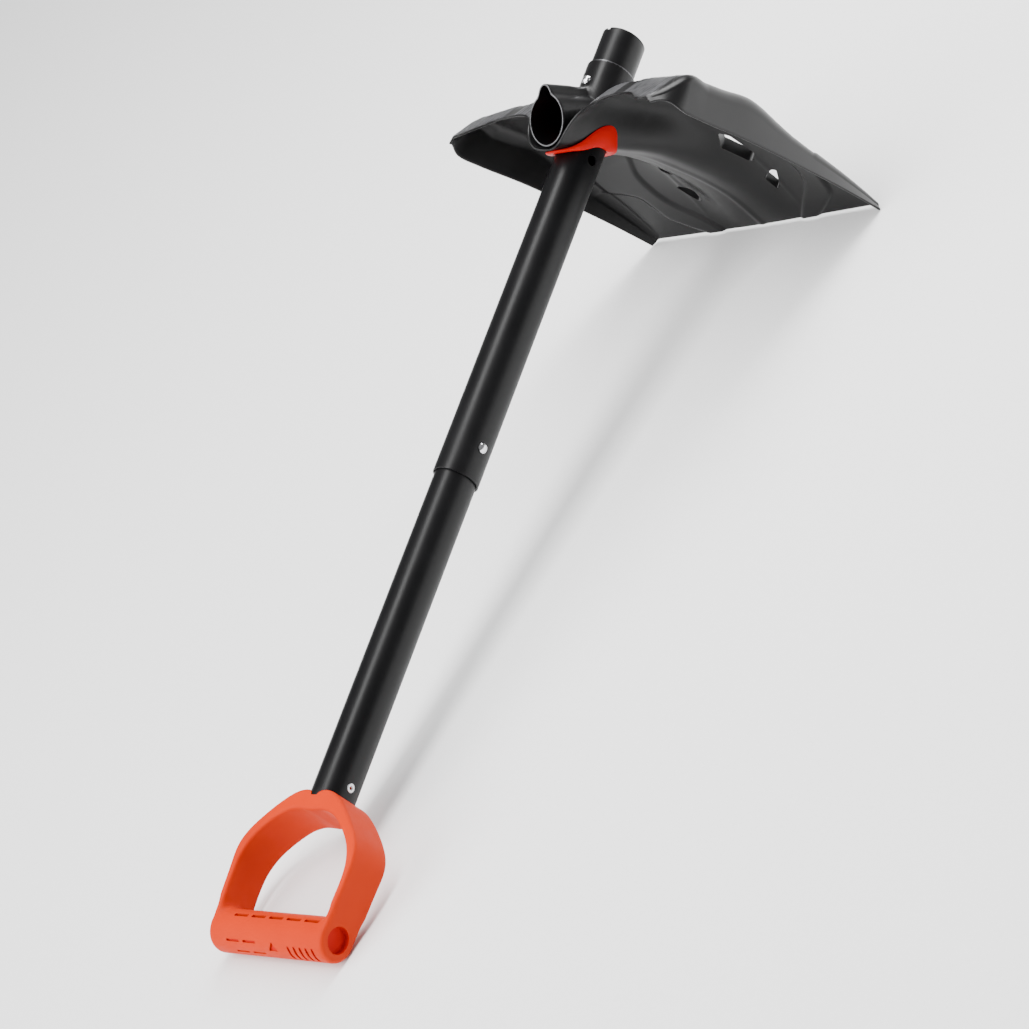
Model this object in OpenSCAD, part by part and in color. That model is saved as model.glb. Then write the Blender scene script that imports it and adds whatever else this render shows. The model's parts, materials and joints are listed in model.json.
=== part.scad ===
// Avalanche shovel with a two-tube telescopic shaft, shown set up as a hoe.
//
// Every piece is drawn in the tool frame: +Z runs along the shaft from the grip
// towards the blade, +X runs towards the cutting edge, and the origin is where
// the axis of the blade's socket crosses the axis of the shaft.  place() then
// lays the tool on the floor, where it rests on its cutting edge and its grip.

/* [Shaft] */
// Length of the upper (outer) tube
upper_length = 389; // [380:1:400]
// Height of the upper tube's free end above the socket crossing
stub_height = 71; // [66:1:76]
// Width of the oval upper tube along X
tube_width = 36.5; // [35.5:0.1:37]
// Width of the oval upper tube along Y
tube_depth = 31.8; // [31:0.1:32.2]
// Wall thickness of both tubes
tube_wall = 1.25; // [1.1:0.05:1.4]
// Running clearance between the two tubes, on each side
tube_clearance = 0.3; // [0.25:0.05:0.4]
// How far the lower tube slides into the upper tube
telescope_travel = 249.5; // [240:0.5:249.5]

/* [Locks] */
// Diameter of the two spring-loaded lock buttons
button_diameter = 7.8; // [7:0.1:8.2]
// Height of the blade lock above the socket crossing
blade_lock_height = 20; // [18:1:22]
// Distance of the telescope lock from the end of the upper tube
telescope_lock_inset = 25.5; // [22:0.5:30]

/* [Grip] */
// Distance from the socket crossing down to the middle of the grip bar
grip_bar_drop = 667.5; // [665:0.5:670]
// Half of the length of the grip bar
grip_bar_half = 58; // [57:1:60]
// Radius of the grip bar
grip_bar_radius = 15; // [14:0.5:15]
// Depth of the grip's frame along X
grip_depth = 30; // [28:1:30]

/* [Blade] */
// Distance of the cutting edge from the shaft axis
edge_reach = 201; // [199:1:203]
// Half of the width of the cutting edge
edge_half_width = 119; // [117:1:120]
// Thickness of the blade sheet
sheet = 1.8; // [1.6:0.1:2]
// Tilt of the socket against the cutting direction, in degrees
socket_tilt = 33; // [32.5:0.1:33.5]
// Distance of the socket's mouth from the shaft axis, along the socket
mouth_reach = 53.5; // [52:0.5:55]

/* [Hidden] */
$fn = 48;

anodised = "#202124";
panel_black = "#26272a";
orange = "#ff5a1e";
red = "#f21a05";
steel = "#b9bcc0";
nylon = "#303034";

// ---- tubes ----
outer_a = tube_width / 2;
outer_b = tube_depth / 2;
slip = tube_wall + tube_clearance;
inner_a = outer_a - slip;
inner_b = outer_b - slip;
upper_end = stub_height - upper_length;
lower_top = upper_end + 70;
guide_height = 8;
grip_rise = 97;
grip_top = grip_rise - grip_bar_drop;
tube_seat = grip_top - 2;
rivet_z = grip_top + 11;
rivet_r = 2;

// ---- locks ----
telescope_lock_z = upper_end + telescope_lock_inset;
collapsed_lock_z = telescope_lock_z + telescope_travel;
button_r = button_diameter / 2;
lock_hole_r = button_r + 0.2;
button_flange_r = button_r + 1.2;
dome_height = 2.8;
spring_gauge = 0.6;
spring_width = 7;
collar_gap = 0.35;
collar_wall = 1.7;
collar_top = 39;
collar_face = outer_a + collar_gap + collar_wall;

// ---- lying pose ----
// The tool rests on the lower rim of the cutting edge; the edge's top leads it.
edge_low = 33.4;
edge_high = 41.73;
edge_lead = edge_reach + 0.15;
rim_drop = grip_bar_drop + edge_low;
lie_tilt = acos(grip_bar_radius / norm([edge_lead, rim_drop])) - atan2(rim_drop, edge_lead);
rest_height = grip_bar_drop * sin(lie_tilt) + grip_bar_radius;
front_reach = edge_reach * sin(lie_tilt) + edge_high * cos(lie_tilt);
back_reach = grip_bar_drop * cos(lie_tilt) + grip_bar_radius;
centre_shift = (back_reach - front_reach) / 2;

module place() {
    translate([centre_shift, 0, rest_height]) rotate([0, 90 - lie_tilt, 0]) children();
}

// Turns a shape so that its Z axis runs out of the socket's mouth and its X
// axis points to the back of the blade.
module along_socket() {
    rotate([0, -90 - socket_tilt, 0]) children();
}

// ---- outlines ----
function oval(a, b, n = 72) = [for (i = [0:n - 1]) [a * cos(360 * i / n), b * sin(360 * i / n)]];

module oval_bar(a, b, z0, z1) {
    translate([0, 0, z0]) linear_extrude(z1 - z0) polygon(oval(a, b));
}

module oval_tube(a, b, wall, z0, z1) {
    difference() {
        oval_bar(a, b, z0, z1);
        oval_bar(a - wall, b - wall, z0 - 1, z1 + 1);
    }
}

// A smooth curve through points [x, y], read at x (Catmull-Rom, flat ends).
function span_of(p, x, i = 0) = (i >= len(p) - 2 || x <= p[i + 1][0]) ? i : span_of(p, x, i + 1);
function slope_at(p, i) =
    i == 0 ? (p[1][1] - p[0][1]) / (p[1][0] - p[0][0])
    : i == len(p) - 1 ? (p[i][1] - p[i - 1][1]) / (p[i][0] - p[i - 1][0])
    : (p[i + 1][1] - p[i - 1][1]) / (p[i + 1][0] - p[i - 1][0]);
function hermite(y0, y1, m0, m1, t) =
    y0 * (1 + 2 * t) * pow(1 - t, 2) + m0 * t * pow(1 - t, 2)
    + y1 * t * t * (3 - 2 * t) + m1 * t * t * (t - 1);
function curve(p, x) =
    let (i = span_of(p, x), step = p[i + 1][0] - p[i][0], t = (x - p[i][0]) / step)
    hermite(p[i][1], p[i + 1][1], slope_at(p, i) * step, slope_at(p, i + 1) * step, t);

// ---- blade surface ----
// Heights of the middle of the sheet over x, as design curves [x, height].
top_edge = -33;
back_line = [
    [-33, -12], [-20, 8], [0, 19], [20, 30], [45, 41], [70, 45.3], [100, 47.5], [150, 47.5],
    [180, 44], [201, 39.5]
];
crest_line = [
    [-33, -51.7], [0, -30.2], [30, -10.7], [50, 1.5], [70, 11], [100, 21.5], [130, 30.5], [160, 36.5], [201, 39]
];
side_drop = [[-33, 9], [-20, 6], [0, 11], [20, 16], [45, 16.5], [75, 19.5], [100, 19], [150, 11], [201, -1.5]];
rim_line = [[-33, -25], [-20, -30], [0, -25], [50, -8], [100, 7], [150, 21], [201, 34]];
rib_width = [[-33, 24], [-15, 20.8], [30, 20.8], [60, 24.5], [100, 28], [201, 30]];
rib_power = [[-33, 5], [-15, 6], [30, 6], [60, 5.5], [100, 4.6], [201, 4]];
corner_start = -18;
corner_cut = 8;
wall_draft = 3;

function half_width(x) =
    edge_half_width - 3 * (edge_reach - x) / (edge_reach - corner_start)
    - (x < corner_start
        ? corner_cut * (1 - sqrt(max(0, 1 - pow((corner_start - x) / (corner_start - top_edge), 2))))
        : 0);
function rib(x, w) = 1 / (1 + pow(w / curve(rib_width, x), curve(rib_power, x)));
function panel(x, w) = curve(back_line, x) - curve(side_drop, x) * pow(w / 118, 2.6);
function floor_at(x, w) =
    panel(x, w) - (curve(back_line, x) - curve(crest_line, x)) * rib(x, w);
function bend_radius(x) =
    let (w = half_width(x) - wall_draft, fall = panel(x, w) - curve(rim_line, x))
    min(14 - 9 * max(0, -x / 33), max(0.6, 0.5 * fall));

// Half of one cross-section, from the middle out to the rim, as [w, z].
rib_steps = 20;
panel_steps = 5;
bend_steps = 4;
wall_steps = 2;
rib_zone = 50;
function half_section(x) =
    let (
        r = bend_radius(x),
        w_out = half_width(x),
        w_bend = w_out - wall_draft - r,
        z_bend = floor_at(x, w_bend)
    )
    concat(
        [for (j = [0:rib_steps - 1]) let (w = rib_zone * j / rib_steps) [w, floor_at(x, w)]],
        [for (j = [0:panel_steps - 1])
            let (w = rib_zone + (w_bend - rib_zone) * j / panel_steps) [w, floor_at(x, w)]],
        [for (j = [0:bend_steps]) let (t = 90 * j / bend_steps)
            [w_bend + r * sin(t), z_bend - r * (1 - cos(t))]],
        [for (j = [1:wall_steps]) let (t = j / wall_steps)
            [w_bend + r + wall_draft * t, (z_bend - r) * (1 - t) + curve(rim_line, x) * t]]
    );
half_count = rib_steps + panel_steps + bend_steps + 1 + wall_steps;
row_count = 27;
function row_x(i) = top_edge + (edge_reach - top_edge) * pow(i / (row_count - 1), 1.35);
// The top edge leans out beside the mouth and back in below it.
function edge_sweep(w) = 3 * exp(-pow(w / 9, 2)) - 4.5 * exp(-pow((w - 22) / 8, 2));
function sweep_fade(x) = pow(max(0, 1 - (x - top_edge) / 25), 2);
// Each shoulder runs on down the slope of the back as a rounded lobe.
lobe_reach = 11;
lobe_slope = 1.4;
function lobe(w) = lobe_reach * exp(-pow((w - 94) / 16, 2));
function row_point(x, side, p) =
    let (fade = sweep_fade(x), out = lobe(p[0]))
    [x + fade * (edge_sweep(p[0]) - out), side * p[0], p[1] - fade * lobe_slope * out];
function full_row(x) =
    let (h = half_section(x))
    concat(
        [for (j = [half_count - 1:-1:1]) row_point(x, -1, h[j])],
        [for (j = [0:half_count - 1]) row_point(x, 1, h[j])]
    );
function unit(v) = v / norm(v);
function surface_normal(g, i, j) =
    let (
        rows = len(g) - 1,
        cols = len(g[0]) - 1,
        down = g[min(i + 1, rows)][j] - g[max(i - 1, 0)][j],
        across = g[i][min(j + 1, cols)] - g[i][max(j - 1, 0)]
    )
    unit(cross(down, across));

// A closed sheet of the given thickness around a grid of points.
module thick_sheet(g, thickness) {
    rows = len(g);
    cols = len(g[0]);
    half = thickness / 2;
    back = [for (i = [0:rows - 1]) for (j = [0:cols - 1]) g[i][j] + half * surface_normal(g, i, j)];
    front = [for (i = [0:rows - 1]) for (j = [0:cols - 1]) g[i][j] - half * surface_normal(g, i, j)];
    n = rows * cols;
    cells = [for (i = [0:rows - 2]) for (j = [0:cols - 2]) i * cols + j];
    ends = [for (j = [0:cols - 2]) j];
    sides = [for (i = [0:rows - 2]) i * cols];
    last = (rows - 1) * cols;
    polyhedron(
        points = concat(back, front),
        faces = concat(
            [for (c = cells) each [[c, c + 1, c + cols + 1], [c, c + cols + 1, c + cols]]],
            [for (c = cells) each [
                [n + c, n + c + cols + 1, n + c + 1], [n + c, n + c + cols, n + c + cols + 1]]],
            [for (c = ends) each [[c, n + c, n + c + 1], [c, n + c + 1, c + 1]]],
            [for (c = ends) each [
                [last + c, last + c + 1, n + last + c + 1], [last + c, n + last + c + 1, n + last + c]]],
            [for (c = sides) each [[c, c + cols, n + c + cols], [c, n + c + cols, n + c]]],
            [for (c = sides) let (d = c + cols - 1) each [
                [d, n + d + cols, d + cols], [d, n + d, n + d + cols]]]
        )
    );
}

// A solid ring through loops of points that all have the same count.
module closed_ring(loops) {
    n = len(loops);
    m = len(loops[0]);
    polyhedron(
        points = [for (l = loops) each l],
        faces = [for (k = [0:n - 1]) for (j = [0:m - 1])
            let (a = k * m + j, b = k * m + (j + 1) % m, k2 = (k + 1) % n,
                 c = k2 * m + (j + 1) % m, d = k2 * m + j)
            each [[a, b, c], [a, c, d]]]
    );
}

// ---- slots through the blade, as [x, y] outlines for the side of +Y ----
long_slot = [[88, 39], [95, 45], [121, 49], [129, 43], [127, 39], [101, 33]];
short_slot = [[149, 40], [144, 48], [146, 52], [164, 43], [166, 39], [152, 37]];
slot_rim_wall = 1.3;
long_rim_rise = 10;
short_rim_rise = 7;
module slot_prisms() {
    for (side = [0, 1]) mirror([0, side, 0])
        for (outline = [long_slot, short_slot])
            translate([0, 0, 20]) linear_extrude(50) polygon(outline);
}

// A turned-up rim on the back of the blade around each slot.
function outwards(p, i, reach) =
    let (
        n = len(p),
        a = unit(p[i] - p[(i + n - 1) % n]),
        b = unit(p[(i + 1) % n] - p[i]),
        mean = unit([a[1] + b[1], -a[0] - b[0]])
    )
    p[i] - reach / (mean * [a[1], -a[0]]) * mean;
module slot_rim(outline, rise) {
    closed_ring([for (i = [0:len(outline) - 1]) let (
        inner = outwards(outline, i, -0.6),
        outer = outwards(outline, i, slot_rim_wall),
        foot = floor_at(outer[0], outer[1])
    ) [
        [each inner, floor_at(inner[0], inner[1])],
        [each inner, foot + rise],
        [each outer, foot + rise],
        [each outer, foot]
    ]]);
}
module slot_rims() {
    for (side = [0, 1]) mirror([0, side, 0]) {
        slot_rim(long_slot, long_rim_rise);
        slot_rim(short_slot, short_rim_rise);
    }
}

// ---- socket ----
// In the socket's own view, +x points to the back of the blade.
socket_wall = 1.3;
bore_a = outer_a + 0.35;
bore_b = outer_b + 0.35;
socket_floor = -24.4;
bore_centre = socket_floor + socket_wall + bore_a;
ridge_r = 4.4;
ridge_centre = 22.8 - socket_wall - ridge_r;
ridge_foot = bore_centre + 9;
socket_end = -50;
collar_side = outer_b + collar_gap + collar_wall;
ring_a = 20.3;
ring_b = 17.8;
flange_a = 27;
flange_b = 20.5;
flange_thickness = 1.7;

// ---- grip outline: right half of the frame, as [half width, height over the bar] ----
frame_outer = [
    [0, 97], [9, 99.5], [20, 97], [33, 88.5], [46, 77], [56, 65.5], [60.5, 54], [60.5, 37], [59.5, 18], [58, 0]
];
frame_inner = [
    [0, 84], [14, 84.5], [26, 81], [37.5, 73], [48, 62], [53.8, 49.5], [55, 36], [54, 18], [52.5, 0]
];
frame_top_half = inner_a;
end_recess_r = 9;
end_recess_depth = 12;

// A smooth line through points, with a few points for each of its spans.
function tangent(p, i) = (p[min(i + 1, len(p) - 1)] - p[max(i - 1, 0)]) / 2;
function smooth_line(p, per_span = 5) = [
    for (i = [0:len(p) - 2]) for (k = [0:per_span - 1]) let (t = k / per_span)
        hermite(p[i], p[i + 1], tangent(p, i), tangent(p, i + 1), t),
    p[len(p) - 1]
];
function flip(p) = [for (i = [len(p) - 1:-1:0]) [-p[i][0], p[i][1]]];

module blade_pan() {
    color(panel_black) place() difference() {
        union() {
            thick_sheet([for (i = [0:row_count - 1]) full_row(row_x(i))], sheet);
            slot_rims();
        }
        oval_bar(ring_a + 0.3, ring_b + 0.3, -80, 60);
        slot_prisms();
    }
}

// The mouth tube with its ridge, and the collar that stands up around the shaft.
module socket_tube() {
    color(anodised) place() difference() {
        union() {
            along_socket() translate([0, 0, socket_end])
                linear_extrude(mouth_reach - socket_end) socket_outline(socket_wall, false);
            along_socket() linear_extrude(mouth_reach) socket_outline(socket_wall, true);
            oval_bar(collar_face, collar_side, 0, collar_top);
        }
        along_socket() translate([0, 0, socket_end + socket_wall])
            linear_extrude(mouth_reach - socket_end) socket_outline(0, false);
        along_socket() linear_extrude(mouth_reach + 1) socket_outline(0, true);
        oval_bar(outer_a + collar_gap, outer_b + collar_gap, -80, collar_top + 1);
        sleeve_cut();
        translate([0, 0, blade_lock_height]) rotate([0, -90, 0])
            cylinder(r = lock_hole_r, h = collar_face + 10);
    }
}

// Section of the socket: the oval bore, and the ridge along its back.
module socket_outline(grow, with_ridge) {
    translate([bore_centre, 0]) polygon(oval(bore_a + grow, bore_b + grow));
    if (with_ridge) hull() {
        translate([ridge_centre, 0]) circle(r = ridge_r + grow, $fn = 32);
        translate([ridge_foot, 0]) circle(r = ridge_r + 4 + grow, $fn = 32);
    }
}

// Room for the bushing's sleeve, cut off along the slope of the socket.
module sleeve_cut() {
    intersection() {
        oval_bar(ring_a + 0.3, ring_b + 0.3, -80, 20);
        rotate([90, 0, 0]) linear_extrude(80, center = true)
            polygon([[-60, -90], [60, -90], [60, sleeve_top(60) + 0.5], [-60, sleeve_top(-60) + 0.5]]);
    }
}

// Bushing that lines the hole in the blade: a sleeve around the shaft with a
// flange that follows the hollow side of the blade.
function sleeve_top(x) = -11 + x * tan(socket_tilt);
function steepness(x, w) =
    let (
        e = 0.5,
        along = floor_at(x + e, w) - floor_at(x - e, w),
        aside = floor_at(x, w + e) - floor_at(x, w - e)
    )
    norm([1, along / (2 * e), aside / (2 * e)]);
function under_sheet(x, y, gap) =
    let (w = max(abs(y), 0.5)) floor_at(x, w) - (sheet / 2 + gap) * min(3.4, steepness(x, w));
function ring_loop(angle) =
    let (
        c = cos(angle),
        s = sin(angle),
        inner = [(outer_a + 0.4) * c, (outer_b + 0.4) * s],
        sleeve = [ring_a * c, ring_b * s],
        outer = [flange_a * c, flange_b * s],
        middle = (inner + outer) / 2,
        gap = 0.8,
        deep = gap + flange_thickness
    )
    [
        [each inner, under_sheet(inner[0], inner[1], deep)],
        [each middle, under_sheet(middle[0], middle[1], deep)],
        [each outer, under_sheet(outer[0], outer[1], deep)],
        [each outer, under_sheet(outer[0], outer[1], gap)],
        [each sleeve, under_sheet(sleeve[0], sleeve[1], gap)],
        [each sleeve, sleeve_top(sleeve[0])],
        [each inner, sleeve_top(inner[0])]
    ];
ring_steps = 60;
module hoe_ring() {
    color(red) place() closed_ring([for (k = [0:ring_steps - 1]) ring_loop(360 * k / ring_steps)]);
}

module upper_tube() {
    color(anodised) place() difference() {
        oval_tube(outer_a, outer_b, tube_wall, upper_end, stub_height);
        translate([0, 0, blade_lock_height]) rotate([0, -90, 0]) cylinder(r = lock_hole_r, h = 30);
        for (z = [telescope_lock_z, collapsed_lock_z])
            translate([0, 0, z]) rotate([90, 0, 0]) cylinder(r = lock_hole_r, h = 30);
        // alignment notch in line with the blade lock
        translate([-outer_a, 0, stub_height]) rotate([0, 90, 0]) cylinder(r = 2, h = 8, center = true);
    }
}

module lower_tube() {
    color(anodised) place() difference() {
        oval_tube(inner_a, inner_b, tube_wall, tube_seat, lower_top);
        translate([0, 0, telescope_lock_z]) rotate([90, 0, 0]) cylinder(r = lock_hole_r, h = 30);
        translate([0, 0, rivet_z]) rotate([90, 0, 0]) cylinder(r = rivet_r + 0.05, h = 60, center = true);
        for (side = [0, 180]) rivet_head(side, 0.05, 1);
    }
}

// Plastic bush in the top of the lower tube, which runs in the upper tube.
module tube_guide() {
    spigot_a = inner_a - tube_wall - 0.1;
    spigot_b = inner_b - tube_wall - 0.1;
    color(nylon) place() difference() {
        union() {
            oval_bar(outer_a - tube_wall - 0.1, outer_b - tube_wall - 0.1, lower_top, lower_top + guide_height);
            oval_bar(spigot_a, spigot_b, lower_top - 5, lower_top + 1);
        }
        oval_bar(spigot_a - 2, spigot_b - 2, lower_top - 10, lower_top + guide_height + 1);
    }
}

module grip() {
    color(orange) place() difference() {
        union() {
            intersection() {
                translate([0, 0, -grip_bar_drop]) rotate([90, 0, 90])
                    linear_extrude(2 * frame_top_half, center = true) difference() {
                        polygon(concat(smooth_line(frame_outer), flip(smooth_line(frame_outer))));
                        polygon(concat(smooth_line(frame_inner), flip(smooth_line(frame_inner))));
                    }
                frame_depth_limit();
            }
            translate([0, 0, -grip_bar_drop]) rotate([90, 0, 0])
                cylinder(r = grip_bar_radius, h = 2 * grip_bar_half, center = true);
            oval_bar(inner_a - tube_wall - 0.2, inner_b - tube_wall - 0.2, tube_seat - 2, grip_top + 32);
        }
        // seat for the end of the lower tube
        oval_tube(inner_a + 0.3, inner_b + 0.2, tube_wall + 0.5, tube_seat, grip_top + 8);
        translate([0, 0, rivet_z]) rotate([90, 0, 0]) cylinder(r = rivet_r + 0.05, h = 60, center = true);
        for (side = [-1, 1]) translate([0, side * grip_bar_half, -grip_bar_drop]) rotate([90, 0, 0])
            cylinder(r = end_recess_r, h = 2 * end_recess_depth, center = true);
    }
}

// Side view of the frame: a little deeper at the shaft than at the bar.
module frame_depth_limit() {
    half = grip_depth / 2;
    rotate([90, 0, 0]) linear_extrude(150, center = true) polygon([
        [-half, -grip_bar_drop], [half, -grip_bar_drop],
        [half, -grip_bar_drop + 30], [frame_top_half, grip_top - 15], [frame_top_half, grip_top + 5],
        [-frame_top_half, grip_top + 5], [-frame_top_half, grip_top - 15], [-half, -grip_bar_drop + 30]
    ]);
}

// Two hollow rivets, one on each side of the lower tube, with flush heads that
// follow the tube and pass inside the upper tube.
rivet_head_r = 3.3;
rivet_head_seat = 0.45;
rivet_bore_r = 1.1;
module rivet_head(side, grow, rise) {
    intersection() {
        oval_bar(inner_a + rise, inner_b + rise, rivet_z - 10, rivet_z + 10);
        rotate([0, 0, side]) translate([0, -inner_b + rivet_head_seat, rivet_z]) rotate([90, 0, 0])
            cylinder(r = rivet_head_r + grow, h = 3);
    }
}

module grip_rivets() {
    color(steel) place() for (side = [0, 180]) difference() {
        union() {
            rivet_head(side, 0, tube_clearance / 2);
            rotate([0, 0, side]) translate([0, -inner_b + 6, rivet_z]) rotate([90, 0, 0])
                cylinder(r = rivet_r, h = 6 - rivet_head_seat / 2);
        }
        rotate([0, 0, side]) translate([0, -inner_b + 4, rivet_z]) rotate([90, 0, 0])
            cylinder(r = rivet_bore_r, h = 8);
    }
}

// A domed button along +Z: the face is at z = 0, where the dome starts.
module lock_button(shank) {
    union() {
        translate([0, 0, -shank]) cylinder(r = button_r, h = shank);
        translate([0, 0, -shank]) cylinder(r = button_flange_r, h = 1);
        intersection() {
            translate([0, 0, dome_height - button_r - 0.6]) sphere(r = button_r + 0.6);
            cylinder(r = button_r, h = dome_height + 1);
        }
    }
}

blade_flange_x = outer_a - tube_wall - 2.2;
module blade_lock_button() {
    color(steel) place() translate([-collar_face, 0, blade_lock_height]) rotate([0, -90, 0])
        lock_button(collar_face - blade_flange_x);
}

telescope_flange_y = inner_b - tube_wall - 1.8;
module telescope_lock_button() {
    color(steel) place() translate([0, -outer_b, telescope_lock_z]) rotate([90, 0, 0])
        lock_button(outer_b - telescope_flange_y);
}

// A U-shaped leaf spring: legs at u = left and u = right, the bend at height bend_z.
module leaf_spring(left, right, foot_z, bend_z) {
    middle = (left + right) / 2;
    radius = (right - left) / 2;
    rotate([90, 0, 0]) linear_extrude(spring_width, center = true) {
        for (edge = [left, right - spring_gauge])
            translate([edge, foot_z]) square([spring_gauge, bend_z - foot_z]);
        translate([middle, bend_z]) difference() {
            circle(r = radius);
            circle(r = radius - spring_gauge);
            translate([-radius - 1, -2 * radius]) square([2 * radius + 2, 2 * radius]);
        }
    }
}

spring_overlap = 7;
module blade_lock_spring() {
    left = -blade_flange_x + 0.05;
    right = outer_a - tube_wall - 0.6;
    color(steel) place()
        leaf_spring(left, right, blade_lock_height - spring_overlap, stub_height - 4 - (right - left) / 2);
}

module telescope_lock_spring() {
    left = -telescope_flange_y + 0.05;
    right = inner_b - tube_wall - 0.45;
    color(steel) place() rotate([0, 0, 90])
        leaf_spring(left, right, telescope_lock_z - spring_overlap, lower_top - 6.5 - (right - left) / 2);
}

blade_pan();
socket_tube();
hoe_ring();
upper_tube();
lower_tube();
tube_guide();
grip();
grip_rivets();
blade_lock_button();
blade_lock_spring();
telescope_lock_button();
telescope_lock_spring();
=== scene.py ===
"""Looks of the avalanche shovel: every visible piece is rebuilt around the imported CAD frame.

Shapes are drawn in the tool frame, in millimetres: +Z runs along the shaft from the grip to
the blade, +X towards the cutting edge, and the origin is where the axis of the blade's socket
crosses the axis of the shaft. The matrix PLACE turns them into the row frame, in metres.
"""

import json
import math

import bpy
import numpy as np
from mathutils import Matrix, Vector


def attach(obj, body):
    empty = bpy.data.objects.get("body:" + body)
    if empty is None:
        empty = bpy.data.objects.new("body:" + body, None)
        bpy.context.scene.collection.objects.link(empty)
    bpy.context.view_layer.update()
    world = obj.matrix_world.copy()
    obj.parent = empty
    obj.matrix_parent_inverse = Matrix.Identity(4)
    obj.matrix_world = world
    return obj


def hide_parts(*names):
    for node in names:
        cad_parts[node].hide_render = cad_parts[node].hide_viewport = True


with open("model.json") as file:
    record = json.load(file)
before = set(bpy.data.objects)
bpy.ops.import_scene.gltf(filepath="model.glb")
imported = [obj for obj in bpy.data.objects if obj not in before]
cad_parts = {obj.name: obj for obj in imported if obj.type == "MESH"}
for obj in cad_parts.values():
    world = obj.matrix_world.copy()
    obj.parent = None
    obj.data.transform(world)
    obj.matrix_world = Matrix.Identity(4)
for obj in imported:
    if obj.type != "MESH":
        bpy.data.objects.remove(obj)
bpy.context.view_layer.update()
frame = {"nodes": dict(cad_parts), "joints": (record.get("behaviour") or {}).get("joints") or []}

# ---------------------------------------------------------------- driving sizes, in mm
OUTER_A, OUTER_B = 18.25, 15.9
TUBE_WALL = 1.25
CLEARANCE = 0.3
INNER_A, INNER_B = OUTER_A - TUBE_WALL - CLEARANCE, OUTER_B - TUBE_WALL - CLEARANCE
STUB_HEIGHT = 71.0
UPPER_END = -318.0
LOWER_TOP = -248.0
BAR_DROP = 667.5
BAR_HALF = 58.0
BAR_RADIUS = 15.0
GRIP_TOP = 97.0 - BAR_DROP
TUBE_SEAT = GRIP_TOP - 2.0
RIVET_Z = GRIP_TOP + 11.0
TELESCOPE_LOCK_Z = UPPER_END + 25.5
COLLAPSED_LOCK_Z = TELESCOPE_LOCK_Z + 249.5
BLADE_LOCK_Z = 20.0
LOCK_HOLE_R = 4.1
BUTTON_R = 3.9
EDGE_REACH = 201.0
EDGE_HALF_WIDTH = 119.0
EDGE_HIGH = 41.73
SHEET = 1.8
SOCKET_TILT = 33.0
MOUTH_REACH = 53.5
SOCKET_WALL = 1.3
COLLAR_TOP = 39.0
COLLAR_FACE, COLLAR_SIDE = OUTER_A + 2.05, OUTER_B + 2.05
HOLE_A, HOLE_B = 20.6, 18.1
SKIN_VOXEL = 0.8

# ---------------------------------------------------------------- the lying pose
shaft_axis = Vector(next(j["axis"] for j in frame["joints"] if j["name"] == "blade_slide"))
LEAN_COS, LEAN_SIN = shaft_axis.x, shaft_axis.z
FRONT_REACH = EDGE_REACH * LEAN_SIN + EDGE_HIGH * LEAN_COS
BACK_REACH = BAR_DROP * LEAN_COS + BAR_RADIUS
CENTRE_SHIFT = (BACK_REACH - FRONT_REACH) / 2
REST_HEIGHT = BAR_DROP * LEAN_SIN + BAR_RADIUS
PLACE = Matrix((
    (LEAN_SIN * 0.001, 0, LEAN_COS * 0.001, CENTRE_SHIFT * 0.001),
    (0, 0.001, 0, 0),
    (-LEAN_COS * 0.001, 0, LEAN_SIN * 0.001, REST_HEIGHT * 0.001),
    (0, 0, 0, 1),
))
SOCKET_TURN = Matrix.Rotation(math.radians(-90 - SOCKET_TILT), 4, "Y")


# ---------------------------------------------------------------- mesh helpers
def new_piece(name, points, faces, transform=PLACE):
    """A mesh object from points in mm and faces, placed in the row frame."""
    mesh = bpy.data.meshes.new(name)
    mesh.from_pydata([tuple(p) for p in points], [], [tuple(f) for f in faces])
    mesh.transform(transform)
    if transform.determinant() < 0:
        mesh.flip_normals()
    mesh.validate()
    piece = bpy.data.objects.new(name, mesh)
    bpy.context.scene.collection.objects.link(piece)
    return piece


def bake(piece):
    """Applies the modifiers of a piece to its mesh."""
    bpy.context.view_layer.update()
    graph = bpy.context.evaluated_depsgraph_get()
    mesh = bpy.data.meshes.new_from_object(piece.evaluated_get(graph))
    piece.modifiers.clear()
    piece.data = mesh
    return piece


def combine(piece, other, operation):
    """Boolean of a piece with another, which is then removed."""
    modifier = piece.modifiers.new("combine", "BOOLEAN")
    modifier.operation = operation
    modifier.solver = "EXACT"
    modifier.object = other
    bake(piece)
    bpy.data.objects.remove(other)
    return piece


def voxel_skin(piece, size_mm):
    """Rebuilds a piece as one even skin, so that its joints can be smoothed into fillets."""
    modifier = piece.modifiers.new("skin", "REMESH")
    modifier.mode = "VOXEL"
    modifier.voxel_size = size_mm * 0.001
    return bake(piece)


def mesh_points(piece):
    """The points of a piece in the tool frame, in mm."""
    points = np.empty(len(piece.data.vertices) * 3)
    piece.data.vertices.foreach_get("co", points)
    back = np.array(PLACE.inverted())
    return points.reshape(-1, 3) @ back[:3, :3].T + back[:3, 3]


def relax(piece, weight, rounds):
    """Moves each point towards the mean of its neighbours, by its own weight from 0 to 1."""
    mesh = piece.data
    points = np.empty(len(mesh.vertices) * 3)
    mesh.vertices.foreach_get("co", points)
    points = points.reshape(-1, 3)
    edges = np.empty(len(mesh.edges) * 2, dtype=int)
    mesh.edges.foreach_get("vertices", edges)
    a, b = edges.reshape(-1, 2).T
    count = np.bincount(np.concatenate([a, b]), minlength=len(points))[:, None]
    count = np.maximum(count, 1)
    step = np.asarray(weight, float).reshape(-1, 1) * 0.5
    for _ in range(rounds):
        total = np.zeros_like(points)
        for axis in range(3):
            total[:, axis] += np.bincount(a, points[b, axis], len(points))
            total[:, axis] += np.bincount(b, points[a, axis], len(points))
        points += step * (total / count - points)
    mesh.vertices.foreach_set("co", points.ravel())
    mesh.update()


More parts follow.
